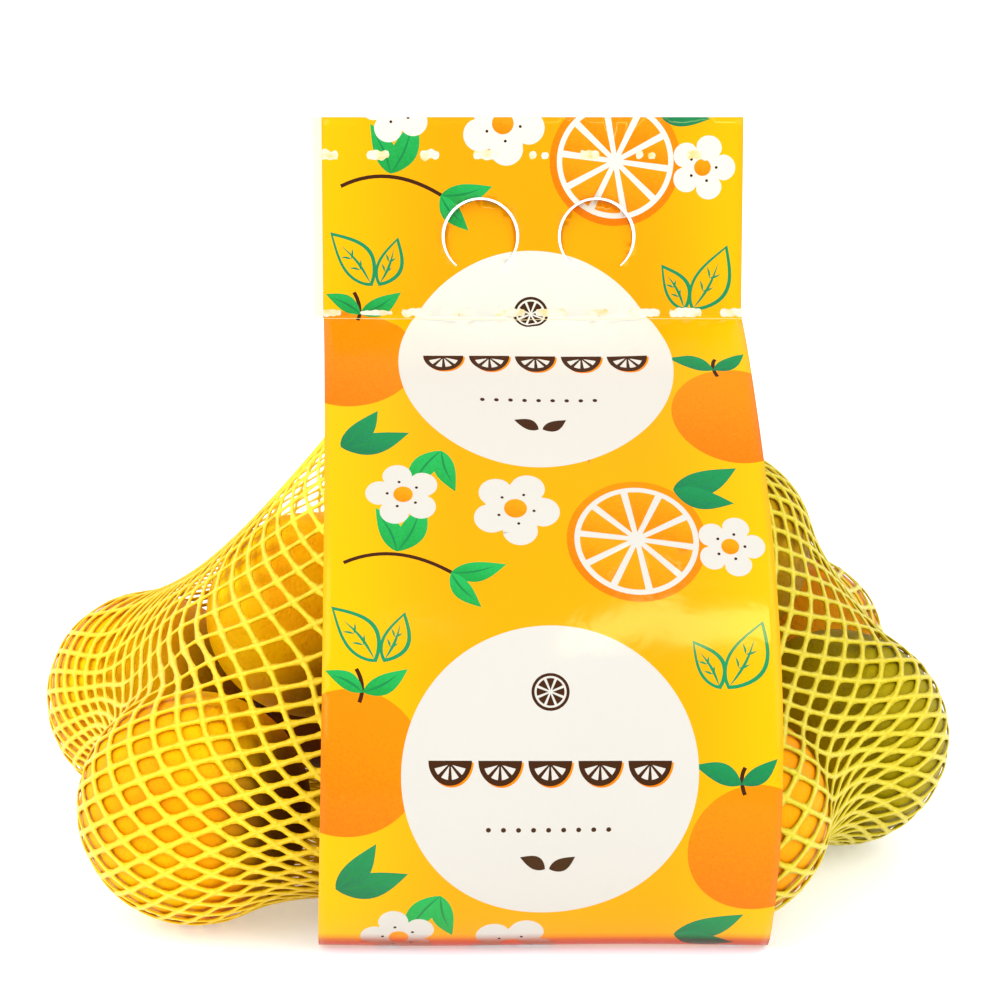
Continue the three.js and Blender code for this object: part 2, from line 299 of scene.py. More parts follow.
def bezier(a, b, c, d, count):
    """Points along a cubic curve from a to d."""
    t = np.linspace(0, 1, count)[:, None]
    a, b, c, d = (np.array(p, float) for p in (a, b, c, d))
    return (1 - t) ** 3 * a + 3 * (1 - t) ** 2 * t * b + 3 * (1 - t) * t * t * c + t ** 3 * d


def body_run(side):
    """(y, z) of a band from the lower weld down to its fold, where it meets the floor."""
    bulge_y, bulge_z = side["bulge"]
    roof = bezier(LOWER_WELD, side["shoulder"], (bulge_y, side["brow"]), side["bulge"], ROOF_STEPS)
    fold = (side["fold"], ON_FLOOR)
    toe = (side["fold"] + (bulge_y - side["fold"]) * 0.6, ON_FLOOR)
    tuck = bezier(side["bulge"], (bulge_y, bulge_z / 2), toe, fold, TUCK_STEPS)
    return np.vstack([roof, tuck[1:]])


def band_centre(z):
    """The bands wander a little to the right over the fruit."""
    down = np.clip((LOWER_WELD[1] - np.asarray(z, float)) / LOWER_WELD[1], 0, 1)
    return HEADER_X + WANDER * np.sin(math.pi * 0.83 * down ** 0.8)


# ------------------------------------------------------------------ the knitted net
# One tube of yellow polyethylene, warp knitted in open cells of about 7 mm. It is gathered into the
# lower weld, drawn tight over the oranges and gathered again into the seam under the pack.

NET_LIFT = 0.7  # from the rind to the middle of a thread
NET_LOW = 1.2  # from the floor to the middle of the lowest threads
COVER = 13  # mm past a band's edges over which the net still keeps behind it
NECK_AT, FOOT_AT = (HEADER_X, LOWER_WELD[0] - 0.5), (14, SEAM_Y)  # x and y of the gathered ends
NECK_HALF, FOOT_HALF, GATHER_HALF = 42, 62, 2  # half their widths, and half their thickness
BELLY_HALF, BELLY_AT = (168, 122), (-2, -25)  # half the slack tube's width and depth, and its middle
SLACK_HEIGHTS = [(0, 168), (0.3, 130), (0.75, NET_LOW), (1, NET_LOW)]  # at shares of the way down
LONGEST_DOWN, LONGEST_AROUND = 9.2, 12.5  # mm between points of the skin, when it is drawn tight
PULL_AROUND, PULL_DOWN = 0.8, 0.5  # how hard neighbours of a point pull on it


def pack_planes(every=9):
    """Corners and outward normals, in y and z, of the outline that the two bands make."""
    outline = np.vstack([body_run(FRONT)[::every], body_run(BACK)[::-every]])
    start, end = outline, np.roll(outline, -1, axis=0)
    keep = np.linalg.norm(end - start, axis=1) > 0.5
    start, end = start[keep], end[keep]
    along = (end - start) / np.linalg.norm(end - start, axis=1)[:, None]
    return start, np.stack([along[:, 1], -along[:, 0]], axis=1)


plane_corners, plane_normals = pack_planes()
netted_fruit = [(np.array(o[:3], float), o[3] + NET_LIFT) for o in ORANGES.values()]


def keep_clear(points, fruit, lift=NET_LIFT, reach=COVER):
    """Moves points of the net out of the fruit, in behind the bands and up onto the floor."""
    under = np.abs(points[:, 0] - band_centre(points[:, 2])) < BAND_WIDTH / 2 + reach
    for corner, out in zip(plane_corners, plane_normals):
        over = (points[:, 1] - corner[0]) * out[0] + (points[:, 2] - corner[1]) * out[1] + lift
        over = np.where(under, np.maximum(over, 0), 0)
        points[:, 1] -= over * out[0]
        points[:, 2] -= over * out[1]
    for centre, radius in fruit:
        away = points - centre
        far = np.linalg.norm(away, axis=1)
        inside = far < radius
        points[inside] = centre + away[inside] / far[inside][:, None] * radius
    points[:, 2] = np.maximum(points[:, 2], NET_LOW)
    return points


def squared(w):
    """A cosine or sine turned round and filled out, for a tube that is more box than ellipse."""
    return -np.sign(w) * np.abs(w) ** 0.7


def shorten(skin, limit, axis):
    """Draws neighbours of the skin together where they are further apart than the limit."""
    other = np.roll(skin, -1, axis=1) if axis == 1 else skin[1:]
    this = skin if axis == 1 else skin[:-1]
    gap = other - this
    length = np.maximum(np.linalg.norm(gap, axis=2), 1e-9)
    pull = (np.maximum(length - limit, 0) / length * 0.5)[..., None] * gap
    moved = skin.copy()
    if axis == 1:
        moved += pull - np.roll(pull, 1, axis=1)
    else:
        moved[:-1] += pull
        moved[1:] -= pull
    moved[0], moved[-1] = skin[0], skin[-1]
    return moved


def draw_tight(columns=72, rows=36, rounds=500):
    """The net as a skin: a slack tube shrinks onto the fruit, between the bands and on the floor."""
    turn = 2 * math.pi * np.arange(columns) / columns
    c, s = np.cos(turn), np.sin(turn)
    t = np.linspace(0, 1, rows + 1)[:, None]
    neck = np.stack([NECK_AT[0] - NECK_HALF * c, NECK_AT[1] - GATHER_HALF * s], axis=1)
    foot = np.stack([FOOT_AT[0] - FOOT_HALF * c, FOOT_AT[1] - GATHER_HALF * s], axis=1)
    belly = np.stack([squared(c) * BELLY_HALF[0] + BELLY_AT[0],
                      squared(s) * BELLY_HALF[1] + BELLY_AT[1]], axis=1)
    swell = np.minimum(1, 2.2 * np.sin(math.pi * t) ** 0.8)[..., None]
    skin = np.empty((rows + 1, columns, 3))
    skin[..., :2] = (neck * (1 - t)[..., None] + foot * t[..., None]) * (1 - swell) + belly * swell
    skin[..., 2] = np.interp(t, *zip(*SLACK_HEIGHTS))
    for _ in range(rounds):
        hoop = PULL_AROUND * (np.roll(skin, 1, axis=1) + np.roll(skin, -1, axis=1))[1:-1]
        middle = (hoop + PULL_DOWN * (skin[:-2] + skin[2:])) / (2 * (PULL_AROUND + PULL_DOWN))
        skin[1:-1] += 0.5 * (middle - skin[1:-1])
        skin = shorten(shorten(skin, LONGEST_DOWN, 0), LONGEST_AROUND, 1)
        inner = keep_clear(skin[1:-1].reshape(-1, 3), netted_fruit)
        skin[1:-1] = inner.reshape(skin[1:-1].shape)
    return skin


def sample_skin(skin, q, t):
    """Smooth points of the skin at shares q around and t down (cubic along both)."""
    rows, columns = skin.shape[0] - 1, skin.shape[1]
    u, v = (q % 1.0) * columns, np.clip(t, 0, 1) * rows
    i, j = np.floor(u).astype(int), np.minimum(np.floor(v).astype(int), rows - 1)

    def weights(f):
        return np.stack([(-f + 2 * f ** 2 - f ** 3) / 2, (2 - 5 * f ** 2 + 3 * f ** 3) / 2,
                         (f + 4 * f ** 2 - 3 * f ** 3) / 2, (-f ** 2 + f ** 3) / 2], axis=-1)

    wu, wv = weights(u - i), weights(v - j)
    total = 0
    for b in range(4):
        row = np.clip(j + b - 1, 0, rows)
        for a in range(4):
            total = total + (wu[..., a] * wv[..., b])[..., None] * skin[row, (i + a - 1) % columns]
    return total


ALONG_SKIN = 0.85  # how much of each outward move is taken back, so that the points stay on the skin


def even_out(skin, rounds=200):
    """Spreads the skin's points evenly over its own surface."""
    for k in range(rounds):
        around = np.roll(skin, -1, axis=1) - np.roll(skin, 1, axis=1)
        out = np.cross(around, np.gradient(skin, axis=0))
        out /= np.maximum(np.linalg.norm(out, axis=2), 1e-9)[..., None]
        ring = (np.roll(skin, 1, axis=1) + np.roll(skin, -1, axis=1))[1:-1]
        move = (ring + skin[:-2] + skin[2:]) / 4 - skin[1:-1]
        move -= ALONG_SKIN * (move * out[1:-1]).sum(2)[..., None] * out[1:-1]
        skin[1:-1] += 0.5 * move
        if k % 3 == 0:
            inner = keep_clear(skin[1:-1].reshape(-1, 3), netted_fruit)
            skin[1:-1] = inner.reshape(skin[1:-1].shape)
    return skin


SKIN_COLUMNS, SKIN_ROWS = 96, 48
skin = draw_tight()
q_grid, t_grid = np.meshgrid(np.arange(SKIN_COLUMNS) / SKIN_COLUMNS, np.linspace(0, 1, SKIN_ROWS + 1))
skin = even_out(sample_skin(skin, q_grid, t_grid))

# The net is stretched unevenly. Cells per full turn, over the shoulders and round the belly, at
# shares of a turn: 0 is the left end, 0.25 the front, 0.5 the right end and 0.75 the back.
CELLS_AROUND = 66
OVER_SHOULDERS = [(0, 74), (0.03, 42), (0.075, 28), (0.117, 30), (0.15, 32), (0.19, 60), (0.24, 98),
                  (0.33, 98), (0.38, 56), (0.42, 38), (0.45, 34), (0.48, 42), (0.52, 70), (0.6, 92),
                  (0.8, 92), (0.87, 46), (0.95, 46), (0.97, 80), (1, 74)]
ROUND_BELLY = [(0, 84), (0.012, 44), (0.025, 30), (0.065, 28), (0.085, 62), (0.10, 96), (0.12, 92),
               (0.145, 64), (0.17, 51), (0.21, 76), (0.32, 76), (0.357, 68), (0.4, 44), (0.44, 43),
               (0.47, 49), (0.5, 55), (0.6, 68), (0.9, 70), (0.95, 76), (0.965, 104), (0.99, 104),
               (1, 84)]
# cells per full height, at shares of the way down from the weld to the seam
CELLS_DOWN = [(0, 30), (0.3, 28), (0.38, 28), (0.44, 31), (0.5, 38), (0.55, 44), (0.6, 48), (0.66, 50),
              (1, 46)]
FIXED_TURNS = (0.13, 0.43)  # the two columns that hang straight down
CELLS_BETWEEN = 19.4  # cells from one of them to the other across the front
LEFT_EXTRA, RIGHT_EXTRA = 6.0, 2.5  # half rows that the ends of the belly have more than its front
# cells by which the left end has turned: to the front from neck to shoulder, then to the back
FORE_SWING, SWING = -3.8, 1.4
END_ROWS = 2.2  # half rows more round the far end, where the cells are slack
LEAN = 0.8  # cells by which the strands of one way stand steeper on the left shoulder
BELLY_TOP, BELLY_FOOT = (0.36, 0.5), (0.62, 0.8)  # where the belly starts and ends, on the way down
share = np.linspace(0, 1, 1441)


def smooth_step(low, high, value):
    """A smooth ramp from 0 at the low value to 1 at the high one."""
    s = np.clip((value - low) / (high - low), 0, 1)
    return s * s * (3 - 2 * s)


def between(rise, fall, value):
    """A hill: up over one pair of values and down over another."""
    return smooth_step(*rise, value) - smooth_step(*fall, value)


def running_total(densities, at):
    """Cells from the start to each share, for a list of (share, cells per unit)."""
    density = np.interp(share, *zip(*densities))
    total = np.concatenate([[0], np.cumsum((density[1:] + density[:-1]) / 2 * np.diff(share))])
    return np.interp(at, share, total)


def columns_at(densities):
    """The column number at each share of a turn, counted from the first fixed column."""
    total = running_total(densities, share)
    first, second, full = (running_total(densities, at) for at in (*FIXED_TURNS, 1.0))
    front = (total - first) * CELLS_BETWEEN / (second - first)
    rest = (CELLS_AROUND - CELLS_BETWEEN) / (full - second + first)
    before, after = (total - first) * rest, CELLS_BETWEEN + (total - second) * rest
    return np.where(share < FIXED_TURNS[0], before, np.where(share <= FIXED_TURNS[1], front, after))


HALF_ROWS = round(2 * running_total(CELLS_DOWN, 1.0) + LEFT_EXTRA)
upper_columns, lower_columns = columns_at(OVER_SHOULDERS), columns_at(ROUND_BELLY)
rows_down = 2 * running_total(CELLS_DOWN, share)


def lean(q, t):
    """How far the strands of one way are turned, in cells, at shares q around and t down."""
    around = between((0.08, 0.2), (0.2, 0.3), q % 1)
    return LEAN * around * between(BELLY_TOP, BELLY_FOOT, t)


def row_at(q, t):
    """The row number at shares q around and t down, counted in half cells from the weld."""
    left = smooth_step(0.88, 0.93, q) + 1 - smooth_step(0.12, 0.185, q)
    right = between((0.39, 0.43), (0.53, 0.60), q)
    more = (left * LEFT_EXTRA * smooth_step(0.53, 0.68, t)
            + right * RIGHT_EXTRA * smooth_step(0.54, 0.64, t))
    rest = ((1 - left) * LEFT_EXTRA - right * RIGHT_EXTRA) * smooth_step(0.66, 1, t)
    end = between((0.86, 0.93), (0.955, 1.0), q)
    slack = END_ROWS * end * between(BELLY_TOP, BELLY_FOOT, t)
    return np.interp(t, share, rows_down) + more + rest + slack - 2 * lean(q, t)


def column_at(q, t):
    """The column number at shares q around and t down."""
    turn, lower = q % 1, smooth_step(0.44, 0.55, t)
    columns = ((1 - lower) * np.interp(turn, share, upper_columns)
               + lower * np.interp(turn, share, lower_columns))
    left = smooth_step(0.6, 0.8, turn) + 1 - smooth_step(0.18, 0.27, turn)
    swing = FORE_SWING * smooth_step(0.06, 0.54, t) + SWING * smooth_step(0.42, 0.68, t)
    return columns + np.floor(q) * CELLS_AROUND + swing * left + lean(q, t)


STEEPEST = 190  # more cells or half rows per unit than any stretch of the net has
COLUMN_PACE = 1.6  # the columns are less steep than the rows, so they may close in faster


def crossing(column, row, rounds=110):
    """The shares around and down at which columns of the net cross its rows."""
    q, t = column / CELLS_AROUND, row / HALF_ROWS
    for _ in range(rounds):
        q = q + (column - column_at(q, t)) / STEEPEST * COLUMN_PACE
        t = np.clip(t + (row - row_at(q % 1, t)) / STEEPEST, 0, 1)
    return q, t


# Every strand winds round the pack, one cell on for each cell down. It is flattened, and a little
# wider where it is fused to the strands that it crosses.
STRAND_WIDE, STRAND_THICK = 1.24, 0.4  # half its width and half its thickness
AT_CROSSING = 0.42  # share by which a crossing is wider
STEPS = 3  # points of a strand from one crossing to the next
STRAND_SIDES = 6
STRAND_CLEARANCE = 0.05  # from the rind to a strand's inner face
BEHIND_FILM, FILM_COVER = 1.6, 7  # how far strands keep behind a band, and how far past its edges
# Above this height the yarn is stretched thin: higher up at the right, lower down at the back.
STRETCHED_AT, HIGHER_RIGHT, LOWER_BACK = 104, 20, 45
STRETCHED_OVER = 22  # mm of height over which it gets thin
THINNER = 0.45  # share of its width that it then loses
LIGHT_FROM = 0.35  # share of the way to its thinnest from which it lets light through


def unit(vectors):
    """The vectors at length one."""
    return vectors / np.maximum(np.linalg.norm(vectors, axis=-1), 1e-9)[..., None]


def strands(side, step=0.003):
    """Middle lines of all strands that wind one way, with their outward normals."""
    row = np.arange(HALF_ROWS * STEPS + 1) / STEPS
    column = np.arange(CELLS_AROUND)[:, None] + side * row / 2
    q, t = crossing(column, np.broadcast_to(row, column.shape))
    around = sample_skin(skin, q + step, t) - sample_skin(skin, q - step, t)
    down = sample_skin(skin, q, t + step) - sample_skin(skin, q, t - step)
    return sample_skin(skin, q, t), unit(np.cross(down, around))


# The net is meshed in parts: its two open ends, and what each band covers.
NET_PARTS = ("net_left", "net_right", "net_behind_front_film", "net_behind_back_film")
COVERED_WITHIN = 14  # mm in from a band's edges, where its covered part starts
all_strands = [strands(1), strands(-1)]
bare_fruit = [(np.array(o[:3], float), o[3] + STRAND_THICK + STRAND_CLEARANCE) for o in ORANGES.values()]


def part_of(points):
    """The part of the net that each point is on, as its number in NET_PARTS."""
    across = points[:, 0] - band_centre(points[:, 2])
    open_end = np.where(across < 0, 0, 1)
    covered = np.where(points[:, 1] < SEAM_Y, 2, 3)
    return np.where(np.abs(across) > BAND_WIDTH / 2 - COVERED_WITHIN, open_end, covered)


def stretched(line):
    """How thin the yarn is drawn at points of a strand, from 0 for full to 1 for thinnest."""
    to_right = smooth_step(-20, 20, line[:, 0] - HEADER_X)
    low = STRETCHED_AT + HIGHER_RIGHT * to_right - LOWER_BACK * smooth_step(-10, 30, line[:, 1])
    return smooth_step(low, low + STRETCHED_OVER, line[:, 2])


def strand_tubes(part):
    """Flattened tubes along the strands in one part of the net."""
    turns = 2 * math.pi * (np.arange(STRAND_SIDES) + 0.5) / STRAND_SIDES
    points, faces, crest_highlights, drawn = [], [], [], []
    swell = 1 + AT_CROSSING * np.cos(2 * math.pi * np.arange(HALF_ROWS * STEPS + 1) / STEPS)
    for line, out in zip(*(np.concatenate(both) for both in zip(*all_strands))):
        line = keep_clear(line.copy(), bare_fruit, lift=BEHIND_FILM, reach=FILM_COVER)
        along = unit(np.gradient(line, axis=0))
        out = unit(out - (out * along).sum(1)[:, None] * along)
        beside = np.cross(along, out)
        thin = stretched(line)
        wide = STRAND_WIDE * swell * (1 - THINNER * thin)
        rings = (line[:, None] + beside[:, None] * (wide[:, None] * np.cos(turns))[..., None]
                 + out[:, None] * (np.sin(turns) * STRAND_THICK)[None, :, None])
        ring_at = {}
        for k in np.flatnonzero(part_of((line[1:] + line[:-1]) / 2) == part):
            for ring in (k, k + 1):
                if ring not in ring_at:
                    ring_at[ring] = len(points)
                    points.extend(rings[ring])
                    # how much painted highlight a point takes: most on a strand's outer side, and full
                    # where the yarn is stretched thin and lets light through
                    crest_highlights.extend(np.maximum(np.maximum(np.sin(turns), 0) ** 3, thin[ring]))
            first, second = ring_at[k], ring_at[k + 1]
            for n in range(STRAND_SIDES):
                m = (n + 1) % STRAND_SIDES
                faces.append((first + n, second + n, second + m, first + m))
                drawn.append(int(thin[k] > LIGHT_FROM))
    return np.array(points), faces, crest_highlights, drawn


# pairs of tones, at the left and at the right end: the yarn's deeper and its lighter fibres. The right
# end's tones are darker and more green, as painted shade on the pack's dimmer side.
DEEP_FIBRES, LIGHT_FIBRES = ("#DCA400", "#B69E00"), ("#EEC800", "#CEBC00")
# the painted highlight along the strands' tops at the right end, dimmer there
RIGHT_HIGHLIGHT = "#E0D044"
FIBRE = 1.6  # mm across a patch of fibres


def yarn(name, opacity, left_highlight, glow):
    """Polyethylene yarn: a bright satin plastic, with a painted highlight along its top, darker and more
    green to the right as painted shade.
    """
    material, tree, shader = new_surface(name, **{
        "Roughness": 0.35, "IOR": 1.5, "Specular IOR Level": 0.3, "Specular Tint": (1.0, 0.9, 0.35, 1.0),
        "Alpha": opacity, "Emission Color": linear("#FFE030"), "Emission Strength": glow})
    where = add(tree, "ShaderNodeTexCoord").outputs["Object"]
    fibre = add(tree, "ShaderNodeTexNoise", {"Vector": where, "Scale": per_metre(FIBRE), "Detail": 2.0})
    across = add(tree, "ShaderNodeSeparateXYZ", {"Vector": where})
    toward_shaded_right = add(tree, "ShaderNodeMapRange", {"Value": across.outputs["X"], "From Min": 0.03,
                                               "From Max": 0.09})
    deep, light, highlight_tone = (
        add(tree, "ShaderNodeMix", {"Factor": toward_shaded_right.outputs[0], "A": linear(at_left),
                                    "B": linear(at_right)}, data_type="RGBA").outputs["Result"]
        for at_left, at_right in (DEEP_FIBRES, LIGHT_FIBRES, (left_highlight, RIGHT_HIGHLIGHT)))
    tone = add(tree, "ShaderNodeMix", {"Factor": fibre.outputs["Fac"], "A": deep, "B": light},
               data_type="RGBA")
    # painted highlight: paler along the strand's top, in mottled patches
    crest = add(tree, "ShaderNodeAttribute", attribute_name="crest")
    narrow = add(tree, "ShaderNodeMath", {0: crest.outputs["Fac"], 1: 1.7}, operation="POWER")
    mottled_highlight = add(tree, "ShaderNodeMath", {0: narrow.outputs[0], 1: fibre.outputs["Fac"]},
               operation="MULTIPLY")
    pale = add(tree, "ShaderNodeMath", {0: mottled_highlight.outputs[0], 1: 1.7}, operation="MULTIPLY",
               use_clamp=True)
    highlighted = add(tree, "ShaderNodeMix", {"Factor": pale.outputs[0], "A": tone.outputs["Result"],
                                        "B": highlight_tone}, data_type="RGBA")
    tree.links.new(highlighted.outputs["Result"], shader.inputs["Base Color"])
    bump = add(tree, "ShaderNodeBump", {"Height": fibre.outputs["Fac"], "Strength": 0.5,
                                        "Distance": 0.15 * MM})
    tree.links.new(bump.outputs[0], shader.inputs["Normal"])
    return material


# In the neck and on the upper back the yarn is stretched thin. The faint glow there stands for the
# light that comes through it.
yarns = [
    yarn("yellow_polyethylene_yarn", opacity=1.0, left_highlight="#F6DA40", glow=0.0),
    yarn("stretched_yarn", opacity=0.8, left_highlight="#FFE84C", glow=0.3),
]
for part, name in enumerate(NET_PARTS):
    points, faces, crest_highlights, drawn = strand_tubes(part)
    net = new_piece(name, points, faces, "net_of_oranges", yarns)
    net.data.polygons.foreach_set("material_index", drawn)
    net.data.attributes.new("crest", "FLOAT", "POINT").data.foreach_set("value", crest_highlights)

# ------------------------------------------------------------------ the film and its print
# Blown polyethylene film of 60 micrometres, printed and glossy. The print is flat fields of ink:
# yellow ground, white rounds, orange fruit, citrus wheels, blossoms and leaves.

FILM_GAP = 0.12  # half the distance between the two films where they are welded
HEADER_STEPS = 40  # points of the run down the header
SEAM_REACH = 4  # how far each band runs past the middle of the seam, so that they lap


def whole_run(side, towards):
    """(y, z) of a band from the header's edge to the seam, and the length down it."""
    offset = towards * FILM_GAP
    steps = np.linspace(0, 1, HEADER_STEPS)[:, None]
    top, weld = np.array([HEADER_TOP, LOWER_WELD]) + [offset, 0]
    lap = [[SEAM_Y - towards * SEAM_REACH, ON_FLOOR]]
    run = np.vstack([top * (1 - steps) + weld * steps, body_run(side)[1:], lap])
    down = np.concatenate([[0], np.cumsum(np.linalg.norm(np.diff(run, axis=0), axis=1))])
    return run, down


def circle(u, v, radius, count=64, tall=1.0):
    """A round, or an oval that is taller by a factor."""
    a = np.linspace(0, 2 * math.pi, count, endpoint=False)
    return np.stack([u + radius * np.cos(a), v + radius * tall * np.sin(a)], axis=1)


def leaf(u, v, length, width, angle, count=18):
    """A lance shape with its foot at (u, v), pointing along an angle in degrees (0 right, 90 up)."""
    s = np.linspace(0, 1, count)
    half = width / 2 * np.sin(math.pi * s ** 0.8)
    bend = 0.06 * length * np.sin(math.pi * s)
    outline = np.vstack([np.stack([s * length, half + bend], axis=1),
                         np.stack([s * length, bend - half], axis=1)[-2:0:-1]])
    a = math.radians(angle)
    return outline @ np.array([[math.cos(a), -math.sin(a)], [math.sin(a), math.cos(a)]]) + [u, v]


def blossom(u, v, radius, petals=5, turn=0.0):
    """A flower's outline, with round petals."""
    a = np.linspace(0, 2 * math.pi, petals * 16, endpoint=False)
    reach = radius * (0.60 + 0.40 * np.abs(np.cos(petals * (a - math.radians(turn)) / 2)) ** 0.6)
    return np.stack([u + reach * np.cos(a), v + reach * np.sin(a)], axis=1)


def pulp_segment(u, v, inner, outer, middle, spread, count=8):
    """One segment of a citrus wheel: an arc outside, a point inside."""
    a = np.radians(np.linspace(middle - spread / 2, middle + spread / 2, count))
    arc = np.stack([u + outer * np.cos(a), v + outer * np.sin(a)], axis=1)
    m = math.radians(middle)
    return np.vstack([arc, [[u + inner * math.cos(m), v + inner * math.sin(m)]]])


def twig(start, bend, end, width=1.2, count=16):
    """A thin bent strip through three points."""
    a, b, c = (np.array(p, float) for p in (start, bend, end))
    t = np.linspace(0, 1, count)[:, None]
    line = (1 - t) ** 2 * a + 2 * (1 - t) * t * b + t ** 2 * c
    along = unit(np.gradient(line, axis=0))
    across = np.stack([-along[:, 1], along[:, 0]], axis=1) * width / 2
    return [("brown", np.vstack([line + across, (line - across)[::-1]]))]


def wheel(u, v, radius, segments=10, turn=0.0):
    """A cut orange: rind, white pith and segments."""
    shapes = [("fruit", circle(u, v, radius)), ("white", circle(u, v, radius * 0.89))]
    step = 360 / segments
    for n in range(segments):
        middle = turn + step * (n + 0.5)
        shapes.append(("pulp", pulp_segment(u, v, radius * 0.12, radius * 0.81, middle, step * 0.80)))
    return shapes


def leaves(u, v, length, angles, dark=False):
    """Solid leaves from one point, each with a darker midrib."""
    shapes = []
    for n, angle in enumerate(angles):
        size = length * (1 - 0.14 * n)
        shapes.append(("dark_leaf" if dark else "leaf", leaf(u, v, size, size * 0.40, angle)))
        shapes.append(("rib", leaf(u, v, size * 0.8, 0.7, angle)))
    return shapes


def outlined_leaf(u, v, length, angle):
    """A leaf drawn as a dark green line with a feathered rib."""
    a = math.radians(angle)
    foot, along = np.array([u, v]), np.array([math.cos(a), -math.sin(a)])
    shapes = [("line", leaf(u, v, length, length * 0.5, angle))]
    inner = leaf(*(foot + along * 1.3), length - 2.8, length * 0.5 - 2.2, angle)
    shapes.append(("ground", inner))
    shapes.append(("line", leaf(*(foot + along * 1), length * 0.72, 0.9, angle)))
    for part_way in (0.3, 0.5):
        branch = foot + along * length * part_way
        for side in (1, -1):
            shapes.append(("line", leaf(*branch, length * 0.16, 0.7, angle + side * 42)))
    return shapes


def fruit_row(u, v, count, pitch, size):
    """A row of dark half wheels, cut side up, each with an orange edge and pale segments."""
    shapes = []
    for n in range(count):
        at = u + (n - (count - 1) / 2) * pitch
        half = np.radians(np.linspace(0, 180, 24))
        bowl = np.stack([np.cos(half), np.sin(half) * 1.15], axis=1)
        shapes.append(("fruit", bowl * size + [at + 0.5, v + 0.5]))
        shapes.append(("brown", bowl * size + [at, v]))
        for middle in (30, 70, 110, 150):
            shapes.append(("white", pulp_segment(at, v + 0.9, size * 0.12, size * 0.74, middle, 26, 5)))
    return shapes


def panel(u, v):
    """A white round with a cut orange, a row of half wheels and two leaves."""
    shapes = [("white", circle(u, v, 43.5, 120, 1.02))]
    shapes += [("brown", circle(u, v - 24, 5.6, 40)), ("white", circle(u, v - 24, 4.7, 40))]
    for n in range(8):
        shapes.append(("brown", pulp_segment(u, v - 24, 0.6, 4.1, 45 * n, 34, 4)))
    shapes += fruit_row(u, v - 4, 5, 14.6, 6.4)
    for n in range(9):
        shapes.append(("brown", circle(u + (n - 4) * 4.4, v + 16.5, 0.75, 12)))
    for side, angle in ((-1, 152), (1, 28)):
        shapes.append(("brown", leaf(u + side * 0.6, v + 29, 8.5, 4.2, angle)))
    return shapes


REPEAT = 145  # the printed web repeats after this length
FIRST_PANEL = 87  # down to the middle of the first white round
PANEL_X = 67
BACK_FIELD = 180  # down to the middle of the back's white field
FIELD_SIDE, FIELD_END, FIELD_CORNER = 36, 48, 9  # from there to its corners' middles, and their radius


def front_print():
    """All shapes from bottom to top as (ink, outline), in mm from the band's top left corner."""
    shapes = []
    for v in (0, REPEAT):
        shapes += wheel(94, v + 14, 21, turn=8)
        shapes += [("fruit", circle(8, v + 84, 22)), ("fruit", circle(128, v + 110, 20))]
        shapes += twig((11, v + 66), (13, v + 61), (10, v + 56))
        shapes += leaves(12, v + 63, 15, (28, 150))
        shapes += twig((124, v + 93), (122, v + 88), (124, v + 85))
        shapes += leaves(123, v + 90, 15, (158, 36), dark=True)
        shapes += twig((6, v + 22), (22, v + 14), (40, v + 26))
        shapes += leaves(22, v + 18, 20, (65, 112))
        shapes += leaves(38, v + 25, 17, (10, -52))
        shapes += outlined_leaf(119, v + 62, 24, 62) + outlined_leaf(117, v + 62, 17, 118)
        shapes += outlined_leaf(16, v + 54, 22, 128) + outlined_leaf(18, v + 54, 17, 68)
    for v in (0, REPEAT, 2 * REPEAT):
        shapes += leaves(106, v - 4, 22, (24, -14), dark=True)
        shapes += leaves(5, v - 22, 22, (14, 52), dark=True)
        shapes += leaves(36, v - 20, 19, (236, 284))
        for u, drop, r, turn in ((58, 2, 13.5, 10), (24, -3, 11.5, 40), (122, 16, 10.5, 0)):
            shapes.append(("white", blossom(u, v + drop, r, turn=turn)))
            shapes.append(("pulp", circle(u, v + drop, r * 0.26, 20)))
            for n in range(5):
                a = math.radians(turn + 72 * n)
                stamen = (u + r * 0.42 * math.cos(a), v + drop + r * 0.42 * math.sin(a))
                shapes.append(("brown", circle(*stamen, 0.5, 8)))
    for v in (0, REPEAT):
        shapes += panel(PANEL_X, v + FIRST_PANEL)
    return shapes


def back_print():
    """The back carries the same motifs round one plain white field."""
    shapes = []
    for v in (10, 10 + REPEAT):
        shapes += wheel(30, v + 10, 19, turn=20) + wheel(112, v + 112, 18, turn=4)
        shapes += [("fruit", circle(108, v + 20, 17)), ("fruit", circle(14, v + 96, 16))]
        shapes += leaves(66, v + 4, 20, (40, -20)) + leaves(64, v + 12, 19, (150, 205), dark=True)
        shapes += outlined_leaf(12, v + 60, 22, 70) + outlined_leaf(122, v + 70, 22, 110)
        shapes += [("white", blossom(84, v - 4, 12, turn=20)), ("pulp", circle(84, v - 4, 3, 20))]
    u, v = PANEL_X, BACK_FIELD
    bends = []
    for n, (side, end) in enumerate([(1, 1), (-1, 1), (-1, -1), (1, -1)]):
        a = np.radians(np.linspace(90 * n, 90 * n + 90, 10))
        bends.append(np.stack([u + side * FIELD_SIDE + FIELD_CORNER * np.cos(a),
                               v + end * FIELD_END + FIELD_CORNER * np.sin(a)], axis=1))
    shapes.append(("white", np.vstack(bends)))
    for n in range(7):
        shapes.append(("brown", circle(u + (n - 3) * 8, v - 40, 1.6, 16)))
    shapes += fruit_row(u, v - 22, 4, 15, 6)
    return shapes


HANDLE_CENTRES = (50.8, 88.2)  # across the band
HANDLE_DOWN = 38.2
HANDLE_RADIUS = 12.0
HANDLE_KERF = 1.3  # the cut's width in the CAD
KERF_AT_ENDS, KERF_GAIN = 0.3, 0.65  # share of the kerf at the cut's ends, and what its top has more
HANDLE_OPEN = 40  # degrees either side of straight down that stay uncut
FLAP_TILT = 0.16  # mm that a flap stands back for each mm above its hinge


